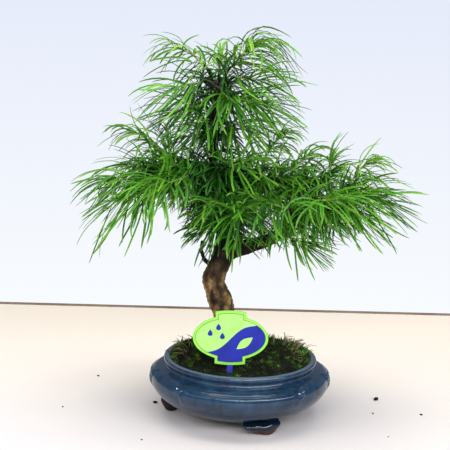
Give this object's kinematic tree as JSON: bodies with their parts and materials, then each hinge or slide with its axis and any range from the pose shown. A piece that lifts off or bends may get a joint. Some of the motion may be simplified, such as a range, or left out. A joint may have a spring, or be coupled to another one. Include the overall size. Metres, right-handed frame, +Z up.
{
  "type": "golden larch bonsai",
  "caption": "Small golden larch tree with long drooping needles, in a round blue-glazed bowl on feet, with a plain plant label.",
  "frame": {"origin": "on the ground under the pot's centre, between its feet", "axes": "+Z up; -Y the tree's front, where the plant label faces; +X to the viewer's right, where the low bough reaches"},
  "size_m": [0.3606, 0.231, 0.392],
  "materials": {
    "blue_glaze": "gloss",
    "soil": "matte",
    "moss": "matte",
    "mesh_plastic": "matte",
    "label_plastic": "gloss",
    "bark": "matte",
    "needles": "satin",
    "young_needles": "satin"
  },
  "bodies": {
    "root": {"pot": "blue_glaze", "soil": "soil", "moss": "moss", "drainage_mesh": "mesh_plastic", "plant_label": "label_plastic", "trunk_and_branches": "bark", "spray_apex_right_long": "young_needles", "spray_apex_left_long": "young_needles", "spray_apex_up": "young_needles", "spray_apex_right_mid": "needles", "spray_apex_right_low": "needles", "spray_apex_left_mid": "needles", "spray_apex_left_low": "needles", "spray_apex_front": "needles", "spray_apex_back": "needles", "spray_apex_back_left": "needles", "spray_apex_back_right": "needles", "spray_crown_right": "needles", "spray_crown_front_left": "needles", "spray_crown_left": "needles", "spray_crown_back": "needles", "spray_left_tip": "needles", "spray_left_tip_low": "needles", "spray_left_young": "young_needles", "spray_left_spur": "needles", "spray_left_top": "needles", "spray_left_front": "needles", "spray_left_front_inner": "needles", "spray_left_inner_low": "needles", "spray_left_back": "needles", "spray_left_back_inner": "needles", "spray_centre_front": "needles", "spray_centre_front_left": "needles", "spray_bare_twig": "needles", "spray_lower_left": "needles", "spray_centre_up": "needles", "spray_centre_young": "young_needles", "spray_centre_back": "needles", "spray_centre_back_low": "needles", "spray_lower_front": "needles", "spray_lower_back": "needles", "spray_right_tip": "needles", "spray_right_tip_up": "young_needles", "spray_right_tip_low": "needles", "spray_right_up_spur": "young_needles", "spray_right_front": "needles", "spray_right_front_inner": "needles", "spray_right_mid_low": "needles", "spray_right_low": "needles", "spray_right_top": "young_needles", "spray_right_back": "needles", "spray_right_back_inner": "needles", "spray_right_back_low": "needles", "spray_right_inner_low": "needles", "spray_right_back_tip": "needles"}
  },
  "joints": []
}
